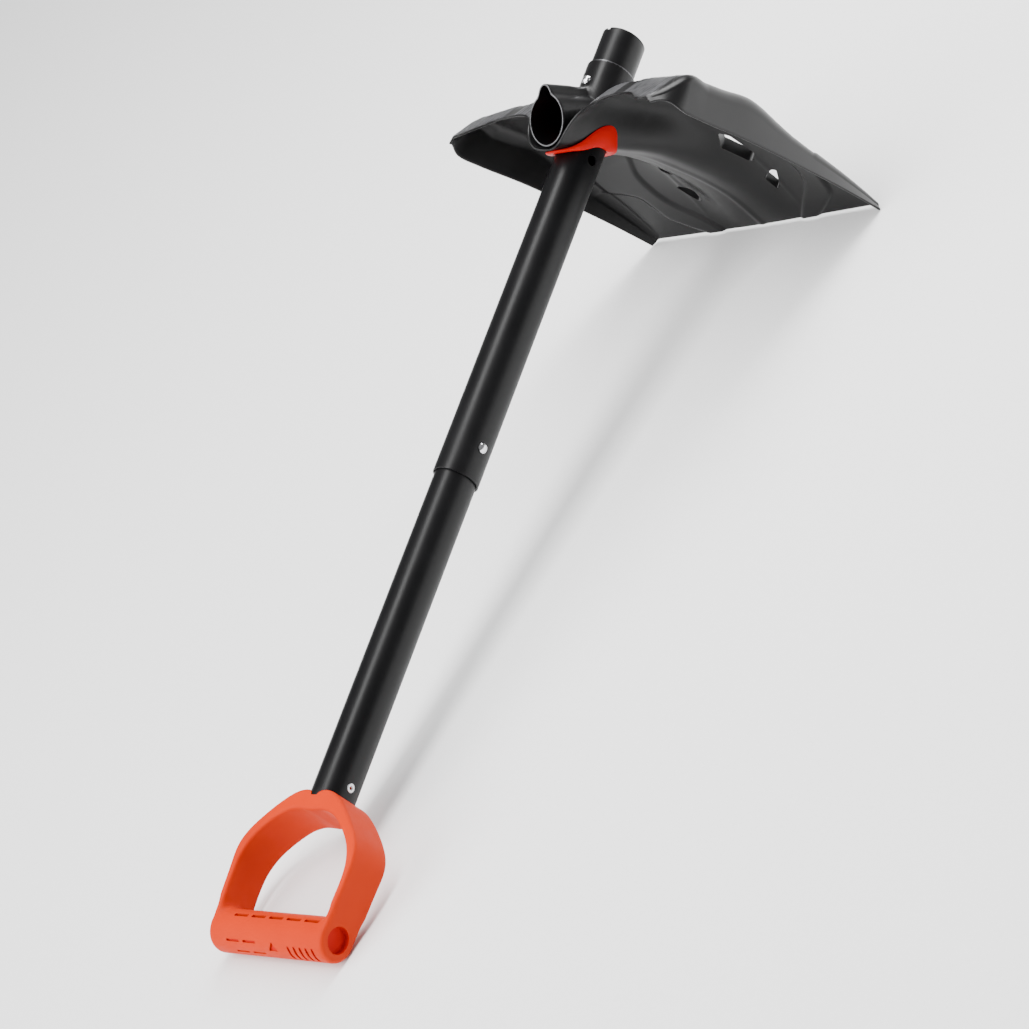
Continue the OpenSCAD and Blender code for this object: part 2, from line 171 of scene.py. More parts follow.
def soft_shading(piece, sharp_degrees=38):
    """Smooth shading that keeps creases sharper than the angle."""
    piece.data.polygons.foreach_set("use_smooth", [True] * len(piece.data.polygons))
    piece.data.set_sharp_from_angle(angle=math.radians(sharp_degrees))
    return piece


def set_materials(piece, *materials):
    piece.data.materials.clear()
    for material in materials:
        piece.data.materials.append(material)


def paint_faces(piece, index, wanted):
    """Gives material slot index to each face whose centre and normal (tool frame) are wanted."""
    back = PLACE.inverted()
    turn = back.to_3x3().normalized()
    for face in piece.data.polygons:
        if wanted(back @ face.center, (turn @ face.normal).normalized()):
            face.material_index = index


def finish_piece(piece, body, node):
    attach(piece, body)
    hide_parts(node)
    return piece


# ---------------------------------------------------------------- outlines and lofts
def oval(a, b, count=96):
    """Points of an oval, counter-clockwise."""
    t = np.linspace(0, 2 * np.pi, count, endpoint=False)
    return np.stack([a * np.cos(t), b * np.sin(t)], 1)


def tube_loft(rings, close_ends=False, loop=False):
    """Points and faces of a skin through rings of points that all have the same count."""
    count = len(rings[0])
    points = np.concatenate(rings)
    faces = []
    last = len(rings) if loop else len(rings) - 1
    for k in range(last):
        lower, upper = k * count, ((k + 1) % len(rings)) * count
        for i in range(count):
            j = (i + 1) % count
            faces.append((lower + i, lower + j, upper + j, upper + i))
    if close_ends:
        faces.append(tuple(range(count - 1, -1, -1)))
        top = (len(rings) - 1) * count
        faces.append(tuple(range(top, top + count)))
    return points, faces


def prism(outline, z0, z1, name="cutter", transform=PLACE):
    """A straight prism over an outline of (x, y) points."""
    rings = [np.column_stack([outline, np.full(len(outline), z)]) for z in (z0, z1)]
    return new_piece(name, *tube_loft(rings, close_ends=True), transform=transform)


def lathe(profile, count=64, name="turned", transform=PLACE):
    """A closed solid turned about Z from a profile of (radius, z) points, from axis to axis."""
    t = np.linspace(0, 2 * np.pi, count, endpoint=False)
    rings = [np.column_stack([r * np.cos(t), r * np.sin(t), np.full(count, z)]) for r, z in profile]
    return new_piece(name, *tube_loft(rings, close_ends=True), transform=transform)


def rounded_tube(name, a, b, wall, z0, z1, edge=0.45, segments=160, lengths=48):
    """An oval tube whose ends have rounded edges."""
    grown, heights = [], []
    for t in np.linspace(0, np.pi / 2, 5):
        grown.append(-edge + edge * math.sin(t))
        heights.append(z0 + edge - edge * math.cos(t))
    for z in np.linspace(z0 + edge, z1 - edge, lengths)[1:-1]:
        grown.append(0.0)
        heights.append(z)
    for t in np.linspace(np.pi / 2, 0, 5):
        grown.append(-edge + edge * math.sin(t))
        heights.append(z1 - edge + edge * math.cos(t))
    rings = [np.column_stack([oval(a + g, b + g, segments), np.full(segments, z)])
             for g, z in zip(grown, heights)]
    inner = [np.column_stack([oval(a - wall - g, b - wall - g, segments), np.full(segments, z)])
             for g, z in zip(reversed(grown), reversed(heights))]
    return new_piece(name, *tube_loft(rings + inner, loop=True))


def slope_rows(table):
    """Slopes of a smooth curve at its design points."""
    x, y = table[:, 0], table[:, 1]
    slopes = np.empty(len(x))
    slopes[1:-1] = (y[2:] - y[:-2]) / (x[2:] - x[:-2])
    slopes[0] = (y[1] - y[0]) / (x[1] - x[0])
    slopes[-1] = (y[-1] - y[-2]) / (x[-1] - x[-2])
    return slopes


def curve(table, at):
    """A smooth curve through design points (x, value), read at an array of x."""
    table = np.asarray(table, float)
    x, y, slopes = table[:, 0], table[:, 1], slope_rows(table)
    at = np.clip(at, x[0], x[-1])
    i = np.clip(np.searchsorted(x, at, side="right") - 1, 0, len(x) - 2)
    step = x[i + 1] - x[i]
    t = (at - x[i]) / step
    return (y[i] * (1 + 2 * t) * (1 - t) ** 2 + slopes[i] * step * t * (1 - t) ** 2
            + y[i + 1] * t * t * (3 - 2 * t) + slopes[i + 1] * step * t * t * (t - 1))


def ease(t):
    t = np.clip(t, 0, 1)
    return t * t * (3 - 2 * t)


# ---------------------------------------------------------------- materials
RUBBED_COLOUR = (0.2, 0.2, 0.21)
RUBBED_ROUGHNESS = 0.28
PLASTIC_GLOSS = 0.07


def shader_nodes(name):
    material = bpy.data.materials.new(name)
    material.use_nodes = True
    tree = material.node_tree
    return material, tree, tree.nodes["Principled BSDF"]


def add_node(tree, kind, **settings):
    node = tree.nodes.new(kind)
    for key, value in settings.items():
        if key in node.inputs:
            node.inputs[key].default_value = value
        else:
            setattr(node, key, value)
    return node


def tool_coordinates(tree, stretch=(1, 1, 1)):
    """Object coordinates turned so that Z runs along the shaft."""
    source = add_node(tree, "ShaderNodeTexCoord")
    turn = add_node(tree, "ShaderNodeMapping")
    turn.vector_type = "TEXTURE"
    turn.inputs["Rotation"].default_value = (0, math.atan2(LEAN_COS, LEAN_SIN), 0)
    tree.links.new(source.outputs["Object"], turn.inputs["Vector"])
    scale = add_node(tree, "ShaderNodeVectorMath", operation="MULTIPLY")
    scale.inputs[1].default_value = stretch
    tree.links.new(turn.outputs["Vector"], scale.inputs[0])
    return scale.outputs[0]


def noise(tree, vector, scale, detail=3.0, roughness=0.55):
    node = add_node(tree, "ShaderNodeTexNoise", Scale=scale, Detail=detail, Roughness=roughness)
    tree.links.new(vector, node.inputs["Vector"])
    return node.outputs["Fac"]


def ramp(tree, value, low, high, start=0.3, end=0.7):
    """Maps a value to a range of values or of colours."""
    node = add_node(tree, "ShaderNodeValToRGB")
    first, second = node.color_ramp.elements
    first.position, second.position = start, end
    first.color = (*low, 1) if isinstance(low, tuple) else (low, low, low, 1)
    second.color = (*high, 1) if isinstance(high, tuple) else (high, high, high, 1)
    tree.links.new(value, node.inputs["Fac"])
    return node.outputs["Color"]


def bump(tree, shader, height, distance_mm, strength=1.0, below=None):
    node = add_node(tree, "ShaderNodeBump", Strength=strength, Distance=distance_mm * 0.001)
    tree.links.new(height, node.inputs["Height"])
    if below is not None:
        tree.links.new(below, node.inputs["Normal"])
    tree.links.new(node.outputs["Normal"], shader.inputs["Normal"])
    return node.outputs["Normal"]


def mix_colour(tree, factor, a, b):
    node = add_node(tree, "ShaderNodeMix", data_type="RGBA")
    tree.links.new(factor, node.inputs["Factor"])
    for socket, value in ((node.inputs[6], a), (node.inputs[7], b)):
        if isinstance(value, tuple):
            socket.default_value = (*value, 1)
        else:
            tree.links.new(value, socket)
    return node.outputs[2]


def anodised(name, dark, light, rough_low, rough_high, sheen, lines=0.0, wear_name=None):
    """Black anodised aluminium: a fine grain, faint cloudy sheen and, on tubes, drawing lines."""
    material, tree, shader = shader_nodes(name)
    shader.inputs["Specular IOR Level"].default_value = sheen
    even = tool_coordinates(tree)
    grain = noise(tree, even, 2600.0, 2.0)
    cloud = noise(tree, even, 22.0, 4.0)
    colour = mix_colour(tree, ramp(tree, cloud, 0.0, 1.0), dark, light)
    rough = ramp(tree, cloud, rough_low, rough_high)
    surface = bump(tree, shader, grain, 0.02, 0.35)
    if lines:
        along = tool_coordinates(tree, (1, 1, 0.012))
        drawn = noise(tree, along, 1500.0, 3.0, 0.7)
        surface = bump(tree, shader, drawn, 0.012, lines, surface)
        rough = mix_colour(tree, ramp(tree, drawn, 0.0, 0.5), rough, (rough_high,) * 3)
    if wear_name:
        wear = add_node(tree, "ShaderNodeAttribute", attribute_name=wear_name)
        rubbed = noise(tree, even, 70.0, 5.0, 0.7)
        streaks = noise(tree, tool_coordinates(tree, (0.15, 1, 0.15)), 320.0, 4.0, 0.65)
        worn = add_node(tree, "ShaderNodeMath", operation="MULTIPLY")
        tree.links.new(ramp(tree, rubbed, 0.25, 1.0, 0.35, 0.6), worn.inputs[0])
        tree.links.new(ramp(tree, streaks, 0.35, 1.0, 0.35, 0.55), worn.inputs[1])
        spread = add_node(tree, "ShaderNodeMath", operation="MULTIPLY", use_clamp=True)
        tree.links.new(wear.outputs["Fac"], spread.inputs[0])
        tree.links.new(worn.outputs[0], spread.inputs[1])
        colour = mix_colour(tree, spread.outputs[0], colour, RUBBED_COLOUR)
        rough = mix_colour(tree, spread.outputs[0], rough, (RUBBED_ROUGHNESS,) * 3)
        tree.links.new(spread.outputs[0], shader.inputs["Metallic"])
    tree.links.new(colour, shader.inputs["Base Color"])
    tree.links.new(rough, shader.inputs["Roughness"])
    return material


def bare_metal(name, dark, light, rough_low, rough_high):
    """Bare aluminium or steel with fine scratches."""
    material, tree, shader = shader_nodes(name)
    shader.inputs["Metallic"].default_value = 1.0
    even = tool_coordinates(tree)
    scratch = noise(tree, tool_coordinates(tree, (0.2, 1, 1)), 900.0, 4.0, 0.65)
    cloud = noise(tree, even, 180.0, 3.0)
    colour = mix_colour(tree, ramp(tree, scratch, 0.0, 1.0), dark, light)
    tree.links.new(colour, shader.inputs["Base Color"])
    tree.links.new(ramp(tree, cloud, rough_low, rough_high), shader.inputs["Roughness"])
    bump(tree, shader, scratch, 0.01, 0.3)
    return material


def moulded_plastic(name, dark, light, rough_low, rough_high, grain_mm):
    """Injection-moulded plastic: fine spark-eroded grain and slight colour drift."""
    material, tree, shader = shader_nodes(name)
    even = tool_coordinates(tree)
    drift = noise(tree, even, 14.0, 3.0)
    grain = noise(tree, even, 1100.0, 3.0, 0.6)
    scuff = noise(tree, even, 90.0, 5.0, 0.7)
    colour = mix_colour(tree, ramp(tree, drift, 0.0, 1.0), dark, light)
    tree.links.new(colour, shader.inputs["Base Color"])
    tree.links.new(ramp(tree, scuff, rough_low, rough_high), shader.inputs["Roughness"])
    shader.inputs["Specular IOR Level"].default_value = PLASTIC_GLOSS
    bump(tree, shader, grain, grain_mm, 0.6)
    return material


BLADE_BLACK = anodised("blade_anodised", (0.0045, 0.0044, 0.0047), (0.0062, 0.006, 0.0064),
                       0.29, 0.36, sheen=0.24, wear_name="wear")
TUBE_BLACK = anodised("tube_anodised", (0.0022, 0.0022, 0.0025), (0.0032, 0.0032, 0.0036),
                      0.3, 0.4, sheen=0.2, lines=0.35)
SOCKET_BLACK = anodised("socket_anodised", (0.0035, 0.0034, 0.0037), (0.0055, 0.0054, 0.0057),
                        0.24, 0.36, sheen=0.2)
# Painted shade: a darker, duller black for the inside of the socket's mouth.
BORE_SHADE_BLACK = anodised("bore_painted_shade", (0.0015, 0.0015, 0.0017), (0.0025, 0.0025, 0.0027),
                      0.5, 0.65, sheen=0.05)
BARE_EDGE = bare_metal("bare_edge", (0.07, 0.07, 0.073), (0.13, 0.13, 0.135), 0.3, 0.45)
POLISHED = bare_metal("polished_steel", (0.62, 0.62, 0.64), (0.78, 0.78, 0.8), 0.1, 0.2)
SPRING_STEEL = bare_metal("spring_steel", (0.42, 0.42, 0.44), (0.55, 0.55, 0.57), 0.25, 0.4)
RIVET_STEEL = bare_metal("rivet_steel", (0.5, 0.5, 0.52), (0.7, 0.7, 0.72), 0.28, 0.42)
# Painted shade: the ring is the grip's orange plastic, given a deeper red for the shade it lies in.
RING_SHADE_RED = moulded_plastic("ring_painted_shade", (0.44, 0.0012, 0.0001), (0.5, 0.002, 0.0002),
                           0.4, 0.5, 0.012)
GRIP_ORANGE = moulded_plastic("grip_orange", (0.44, 0.0195, 0.0001), (0.5, 0.0255, 0.0002),
                              0.5, 0.62, 0.03)
# Painted shade: the grip's orange plastic, given a deeper red for the end recesses and the grooves of
# the bar.
RECESS_SHADE_RED = moulded_plastic("recess_painted_shade", (0.4, 0.0012, 0.0001), (0.46, 0.0018, 0.0001),
                             0.5, 0.65, 0.02)
GUIDE_NYLON = moulded_plastic("guide_nylon", (0.03, 0.03, 0.033), (0.045, 0.045, 0.048),
                              0.4, 0.55, 0.02)


# ---------------------------------------------------------------- blade
# The lines are design points (x, height), and the rib's two are (x, value).
TOP_EDGE = -33.0
BACK_LINE = [(-33, -12), (-20, 8), (0, 19), (20, 30), (45, 41), (70, 45.3), (100, 47.5), (150, 47.5),
             (180, 44), (201, 39.5)]
CREST_LINE = [(-33, -51.7), (0, -30.2), (30, -10.7), (50, 1.5), (70, 11), (100, 21.5), (130, 30.5),
              (160, 36.5), (201, 39)]
SIDE_DROP = [(-33, 9), (-20, 6), (0, 11), (20, 16), (45, 16.5), (75, 19.5), (100, 19), (150, 11),
             (201, -1.5)]
RIM_LINE = [(-33, -25), (-20, -30), (0, -25), (50, -8), (100, 7), (150, 21), (201, 34)]
RIB_WIDTH = [(-33, 24), (-15, 20.8), (30, 20.8), (60, 24.5), (100, 28), (201, 30)]
RIB_POWER = [(-33, 5), (-15, 6), (30, 6), (60, 5.5), (100, 4.6), (201, 4)]
PANEL_HALF_WIDTH = 118
PANEL_POWER = 2.6
SIDE_TAPER = 3
CORNER_START = -18.0
CORNER_CUT = 11.5
WALL_DRAFT = 3.0
BEND_RADIUS = 14
TOP_BEND_LOSS = 9
LEAST_BEND = 0.6
RIB_ZONE = 50.0
# The top edge dips in the middle and rises to a horn on each side of the socket. Both, and the
# shoulders' lobes, fade out along the blade.
TOP_DIP, TOP_DIP_WIDTH = 3, 9
HORN_RISE, HORN_PLACE, HORN_WIDTH = 4.5, 22, 8
TOP_FADE = 25
# The swelling of each shoulder.
LOBE_REACH = 11.0
LOBE_SLOPE = 1.4
LOBE_CENTRE = 94
LOBE_WIDTH = 16
# The stiffening band of each side, between its inner and its outer crease, as (x, distance
# from the middle).
BAND_INNER = [(60, 50), (95, 62), (118, 72), (140, 74), (155, 72), (168, 66), (185, 52), (201, 40)]
BAND_OUTER = [(100, 140), (122, 112), (143, 92), (160, 88), (178, 84), (190, 72), (201, 57)]
BAND_DEPTH = 2.0
BAND_EDGE = 4.0
LONG_SLOT = [(88, 39), (95, 45), (121, 49), (129, 43), (127, 39), (101, 33)]
SHORT_SLOT = [(149, 40), (144, 48), (146, 52), (164, 43), (166, 39), (152, 37)]
SLOT_RIM_WALL = 1.3
SLOT_RIM_SPARE = 0.4
LONG_RIM_RISE = 10.0
SHORT_RIM_RISE = 7.0
# From where to where the straight cutters run, clear of the sheet on both sides.
HOLE_CUT = (-80, 60)
SLOT_CUT = (20, 70)


def half_width(x):
    corner = np.clip((CORNER_START - x) / (CORNER_START - TOP_EDGE), 0, 1)
    return (EDGE_HALF_WIDTH - SIDE_TAPER * (EDGE_REACH - x) / (EDGE_REACH - CORNER_START)
            - CORNER_CUT * (1 - np.sqrt(1 - corner ** 2)))


def panel(x, w):
    return curve(BACK_LINE, x) - curve(SIDE_DROP, x) * (w / PANEL_HALF_WIDTH) ** PANEL_POWER


def floor_at(x, w):
    rib = 1 / (1 + (w / curve(RIB_WIDTH, x)) ** curve(RIB_POWER, x))
    return panel(x, w) - (curve(BACK_LINE, x) - curve(CREST_LINE, x)) * rib


def half_sections(x, rib_steps=44, panel_steps=44, bend_steps=12, wall_steps=12):
    """Cross-sections from the middle out to the rim, as arrays of w and z for a column of x."""
    x = x[:, None]
    w_out = half_width(x)
    w_side = w_out - WALL_DRAFT
    widest = BEND_RADIUS - TOP_BEND_LOSS * np.clip(x / TOP_EDGE, 0, 1)
    radius = np.clip(0.5 * (panel(x, w_side) - curve(RIM_LINE, x)), LEAST_BEND, widest)
    w_bend = w_side - radius
    z_bend = floor_at(x, w_bend)
    rib_w = np.broadcast_to(RIB_ZONE * np.arange(rib_steps) / rib_steps, (len(x), rib_steps))
    panel_w = RIB_ZONE + (w_bend - RIB_ZONE) * np.arange(panel_steps) / panel_steps
    turn = np.radians(90) * np.arange(bend_steps + 1) / bend_steps
    wall = np.arange(1, wall_steps + 1) / wall_steps
    w = np.concatenate([rib_w, panel_w, w_bend + radius * np.sin(turn), w_side + WALL_DRAFT * wall], 1)
    z = np.concatenate([
        floor_at(x, rib_w), floor_at(x, panel_w), z_bend - radius * (1 - np.cos(turn)),
        (z_bend - radius) * (1 - wall) + curve(RIM_LINE, x) * wall], 1)
    fading = 1 - np.arange(bend_steps + 1) / bend_steps
    on_floor = np.concatenate([np.ones(rib_steps + panel_steps), fading, np.zeros(wall_steps)])
    return w, z, np.broadcast_to(on_floor, w.shape)


# Fine relief: the crest of the rib, the flute beside it, and the step pads, each pad as its two
# distances from the middle.
CREST_DEPTH, CREST_WIDTH = 0.7, 2.6
FLUTE_DEPTH, FLUTE_PLACE, FLUTE_WIDTH = 0.45, 17, 2.4
PAD_HEIGHT, PAD_PITCH, PAD_EDGE = 0.5, 3.4, 3
PAD_START, PAD_END = -33.5, -15
TREADS = [(30, 52), (62, 104)]


def tread_mask(x, w):
    """1 on the worn step pads of the shoulder, fading out at their edges."""
    mask = np.zeros(np.broadcast(x, w).shape)
    for low, high in TREADS:
        across = ease((w - low) / PAD_EDGE) * ease((high - w) / PAD_EDGE)
        mask = np.maximum(mask, across)
    return mask * ease((x - PAD_START) / 2.5) * ease((PAD_END - x) / 5)


def relief(x, w, on_floor):
    """How far the sheet stands off its smooth surface, in mm, towards its back.

    Each ease() of x fades a feature in or out along the blade.
    """
    inside = ease((w - curve(BAND_INNER, x)) / BAND_EDGE + 0.5)
    beyond = ease((w - curve(BAND_OUTER, x)) / BAND_EDGE + 0.5)
    band = -BAND_DEPTH * (inside - beyond) * ease((x - 62) / 35) * on_floor
    crest = -CREST_DEPTH * np.exp(-(w / CREST_WIDTH) ** 2) * ease((x - 45) / 40)
    flute = np.exp(-((w - curve(RIB_WIDTH, x) - FLUTE_PLACE) / FLUTE_WIDTH) ** 2)
    flute = -FLUTE_DEPTH * flute * ease((x - 40) / 30) * ease((196 - x) / 40)
    pads = PAD_HEIGHT * tread_mask(x, w) * (1 + 0.5 * np.sin(w * 2 * np.pi / PAD_PITCH))
    return band + crest + flute + pads


def surface_normals(points):
    down = np.gradient(points, axis=0)
    across = np.gradient(points, axis=1)
    normal = np.cross(down, across)
    return normal / np.linalg.norm(normal, axis=2, keepdims=True)


def blade_grid(rows=190):
    """Middle surface of the sheet as a grid of points, with the wear of each point."""
    x = TOP_EDGE + (EDGE_REACH - TOP_EDGE) * (np.arange(rows) / (rows - 1)) ** 1.2
    w, z, on_floor = half_sections(x)
    dip = TOP_DIP * np.exp(-(w / TOP_DIP_WIDTH) ** 2)
    sweep = dip - HORN_RISE * np.exp(-((w - HORN_PLACE) / HORN_WIDTH) ** 2)
    fade = np.clip(1 - (x - TOP_EDGE) / TOP_FADE, 0, None)[:, None] ** 2
    lobe = LOBE_REACH * np.exp(-((w - LOBE_CENTRE) / LOBE_WIDTH) ** 2)
    x_all = x[:, None] + fade * (sweep - lobe)
    z = z - fade * LOBE_SLOPE * lobe
    lift = relief(x[:, None], w, on_floor)
    wear = tread_mask(x[:, None], w)
    right = np.stack([x_all, -w, z], 2)[:, :0:-1]
    left = np.stack([x_all, w, z], 2)
    points = np.concatenate([right, left], 1)
    lift = np.concatenate([lift[:, :0:-1], lift], 1)
    wear = np.concatenate([wear[:, :0:-1], wear], 1)
    points = points + surface_normals(points) * lift[..., None]
    return points, wear


def thick_sheet(name, grid, wear, thickness, rim_steps=4):
    """A closed sheet around a grid, with a rounded rim."""
    rows, cols = grid.shape[:2]
    normal = surface_normals(grid)
    half = thickness / 2
    border = [(0, j) for j in range(cols)] + [(i, cols - 1) for i in range(1, rows)]
    border += [(rows - 1, j) for j in range(cols - 2, -1, -1)]
    border += [(i, 0) for i in range(rows - 2, 0, -1)]
    border = np.array(border)
    inwards = np.zeros_like(grid)
    inwards[0] = grid[1] - grid[0]
    inwards[-1] = grid[-2] - grid[-1]
    inwards[:, 0] += grid[:, 1] - grid[:, 0]
    inwards[:, -1] += grid[:, -2] - grid[:, -1]
    edge_in = inwards[border[:, 0], border[:, 1]]
    edge_in /= np.linalg.norm(edge_in, axis=1, keepdims=True)
    middle = grid[border[:, 0], border[:, 1]] + edge_in * half
    edge_normal = normal[border[:, 0], border[:, 1]]
    top = grid + half * normal
    bottom = grid - half * normal
    top[border[:, 0], border[:, 1]] = middle + edge_normal * half
    bottom[border[:, 0], border[:, 1]] = middle - edge_normal * half
    points = [top.reshape(-1, 3), bottom.reshape(-1, 3)]
    for k in range(1, rim_steps):
        t = math.pi * k / rim_steps
        points.append(middle + edge_normal * half * math.cos(t) - edge_in * half * math.sin(t))
    count = rows * cols
    index = np.arange(count).reshape(rows, cols)
    a, b, c, d = index[:-1, :-1], index[:-1, 1:], index[1:, 1:], index[1:, :-1]
    upper = np.stack([a, d, c, b], 2).reshape(-1, 4)
    lower = np.stack([a, b, c, d], 2).reshape(-1, 4) + count
    loops = [index[border[:, 0], border[:, 1]]]
    loops += [2 * count + k * len(border) + np.arange(len(border)) for k in range(rim_steps - 1)]
    loops.append(loops[0] + count)
    rim = []
    for one, two in zip(loops[:-1], loops[1:]):
        rim.append(np.stack([one, np.roll(one, -1), np.roll(two, -1), two], 1))
    faces = np.concatenate([upper, lower] + rim)
    piece = new_piece(name, np.concatenate(points), faces.tolist())
    values = np.concatenate([wear.ravel(), wear.ravel()] + [np.zeros(len(border))] * (rim_steps - 1))
    attribute = piece.data.attributes.new("wear", "FLOAT", "POINT")
    attribute.data.foreach_set("value", values)
    material_index = np.zeros(len(faces), dtype=int)
    material_index[2 * len(upper):] = 1
    piece.data.polygons.foreach_set("material_index", material_index)
    return piece


def rounded_outline(corners, radius=1.6, steps=4):
    """An outline with its corners rounded."""
    corners = [np.array(c, float) for c in corners]
    points = []
    for i, corner in enumerate(corners):
        before, after = corners[i - 1] - corner, corners[(i + 1) % len(corners)] - corner
        reach = min(radius, 0.4 * np.linalg.norm(before), 0.4 * np.linalg.norm(after))
        start = corner + before / np.linalg.norm(before) * reach
        end = corner + after / np.linalg.norm(after) * reach
        for t in np.linspace(0, 1, steps):
            points.append((1 - t) ** 2 * start + 2 * t * (1 - t) * corner + t * t * end)
    return np.array(points)


def slot_rim(corners, rise):
    """The rim that is turned up towards the back around a slot, with a rounded top.

    It reaches a little into the slot, and the slot's cutter trims it.
    """
    line = rounded_outline(corners)
    along = np.roll(line, -1, 0) - np.roll(line, 1, 0)
    out = np.stack([-along[:, 1], along[:, 0]], 1) / np.linalg.norm(along, axis=1, keepdims=True)
    edge = line + out * SLOT_RIM_WALL
    foot = floor_at(edge[:, 0], np.abs(edge[:, 1]))
    half = (SLOT_RIM_WALL + SLOT_RIM_SPARE) / 2
    rings = []
    top = [(SLOT_RIM_WALL - half - half * math.cos(t), rise - half + half * math.sin(t))
           for t in np.linspace(0, math.pi, 7)]
    for grow, lift in [(-SLOT_RIM_SPARE, -0.5)] + top + [(SLOT_RIM_WALL, -0.5)]:
        rings.append(np.column_stack([line + out * grow, foot + lift]))
    return new_piece("cutter", *tube_loft(rings, loop=True))


def both_sides(outline):
    """An outline on the left of the blade and its mirror image, both in the same turning sense."""
    return [[(x, side * y) for x, y in outline][::side] for side in (1, -1)]


def make_blade():
    grid, wear = blade_grid()
    blade = thick_sheet("blade_sheet", grid, wear, SHEET)
    set_materials(blade, BLADE_BLACK, BARE_EDGE)
    for outline, rise in ((LONG_SLOT, LONG_RIM_RISE), (SHORT_SLOT, SHORT_RIM_RISE)):
        for corners in both_sides(outline):
            combine(blade, slot_rim(corners, rise), "UNION")
    combine(blade, prism(oval(HOLE_A, HOLE_B), *HOLE_CUT), "DIFFERENCE")
    for corners in both_sides(LONG_SLOT) + both_sides(SHORT_SLOT):
        combine(blade, prism(rounded_outline(corners)[::-1], *SLOT_CUT), "DIFFERENCE")
    soft_shading(blade, 40)
    return finish_piece(blade, "blade", "blade_pan")


# ---------------------------------------------------------------- socket and collar
BORE_A, BORE_B = OUTER_A + 0.35, OUTER_B + 0.35
SOCKET_FLOOR = -24.4
BORE_CENTRE = SOCKET_FLOOR + SOCKET_WALL + BORE_A
RIDGE_R = 4.4
RIDGE_CENTRE = 22.8 - SOCKET_WALL - RIDGE_R
RIDGE_FOOT = BORE_CENTRE + 9.0
RIDGE_FOOT_R = RIDGE_R + 4
SOCKET_END = -50.0
SLEEVE_TOP, SLEEVE_CLEAR = -11, -10.5
COLLAR_LIP = 0.9
# The fillet lies between these heights on the shaft, and ends this far along the socket.
FILLET_ZONE = (2, 30)
FILLET_REACH = 34
SHAFT_CUT = 80.0
CUT_REACH = 90
ALONG_SOCKET = PLACE @ SOCKET_TURN


def teardrop(grow, count=120):
    """Outline of the socket: an oval bore with a ridge along its back."""
    angles = np.linspace(0, 2 * np.pi, count, endpoint=False)
    directions = np.stack([np.cos(angles), np.sin(angles)], 1)
    a, b = BORE_A + grow, BORE_B + grow
    reach = 1 / np.sqrt((directions[:, 0] / a) ** 2 + (directions[:, 1] / b) ** 2)
    for t in np.linspace(0, 1, 12):
        centre = RIDGE_CENTRE * (1 - t) + RIDGE_FOOT * t - BORE_CENTRE
        radius = (RIDGE_R + grow) * (1 - t) + (RIDGE_FOOT_R + grow) * t
        along = directions[:, 0] * centre
        inside = radius ** 2 - (centre * directions[:, 1]) ** 2
        hit = np.where(inside > 0, along + np.sqrt(np.maximum(inside, 0)), 0)
        reach = np.maximum(reach, hit)
    for _ in range(4):
        reach = 0.5 * reach + 0.25 * (np.roll(reach, 1) + np.roll(reach, -1))
    return directions * reach[:, None] + [BORE_CENTRE, 0]


def fair_socket(shell):
    """Turns the socket and its collar into one skin, with a broad fillet between them."""
    voxel_skin(shell, SKIN_VOXEL)
    points = mesh_points(shell)
    along = points @ np.array(SOCKET_TURN.to_3x3())[:, 2]
    low, high = FILLET_ZONE
    near_collar = ease((points[:, 2] - low) / 6) * ease((high - points[:, 2]) / 8)
    weight = 0.12 + 0.88 * np.clip(near_collar, 0, 1) * ease((FILLET_REACH - along) / 12)
    relax(shell, weight, 46)
    relax(shell, np.full(len(points), 0.5), 3)


def bore_socket(shell):
    """Trims both ends and cuts the mouth, the shaft's bore, the ring's room and the lock hole."""
    wide = oval(CUT_REACH, CUT_REACH, 32)
    combine(shell, prism(wide, COLLAR_TOP, 120), "DIFFERENCE")
    combine(shell, prism(wide, MOUTH_REACH - 0.6, 120, transform=ALONG_SOCKET), "DIFFERENCE")
    combine(shell, prism(teardrop(0), -4, MOUTH_REACH + 9, transform=ALONG_SOCKET), "DIFFERENCE")
    bore = oval(BORE_A, BORE_B, 120)
    mouth_bore = prism(bore + [BORE_CENTRE, 0], SOCKET_END + SOCKET_WALL, 2, transform=ALONG_SOCKET)
    combine(shell, mouth_bore, "DIFFERENCE")
    combine(shell, prism(bore, -SHAFT_CUT, SHAFT_CUT), "DIFFERENCE")
    hole = oval(HOLE_A, HOLE_B)
    hole_top = SLEEVE_CLEAR + hole[:, 0] * math.tan(math.radians(SOCKET_TILT))
    hole_foot = np.full(len(hole), -SHAFT_CUT)
    room = [np.column_stack([hole, hole_foot]), np.column_stack([hole, hole_top])]
    combine(shell, new_piece("cutter", *tube_loft(room, close_ends=True)), "DIFFERENCE")
    lock = Matrix.Translation((0, 0, BLADE_LOCK_Z)) @ Matrix.Rotation(math.radians(-90), 4, "Y")
    drill = prism(oval(LOCK_HOLE_R, LOCK_HOLE_R, 40), 0, 60, transform=PLACE @ lock)
    combine(shell, drill, "DIFFERENCE")


def paint_socket(shell):
    """Bare metal at the cut ends, and painted shade inside the mouth: a darker, duller black."""
    set_materials(shell, SOCKET_BLACK, BARE_EDGE, BORE_SHADE_BLACK)
    mouth_axis = Vector(SOCKET_TURN.col[2][:3])
    local_x = Vector(SOCKET_TURN.col[0][:3])

    def at_an_end(p, n):
        at_mouth = n.dot(mouth_axis) > 0.95 and p.dot(mouth_axis) > MOUTH_REACH - 2
        return at_mouth or p.z > COLLAR_TOP - COLLAR_LIP

    def in_bore(p, n):
        u, v, reach = p.dot(local_x) - BORE_CENTRE, p.y, p.dot(mouth_axis)
        outwards = n.dot(local_x) * u + n.y * v
        return outwards < 0 and reach < MOUTH_REACH - 1 and p.z < 14

    paint_faces(shell, 1, at_an_end)
    # Painted shade: the faces inside the mouth get the darker black.
    paint_faces(shell, 2, in_bore)


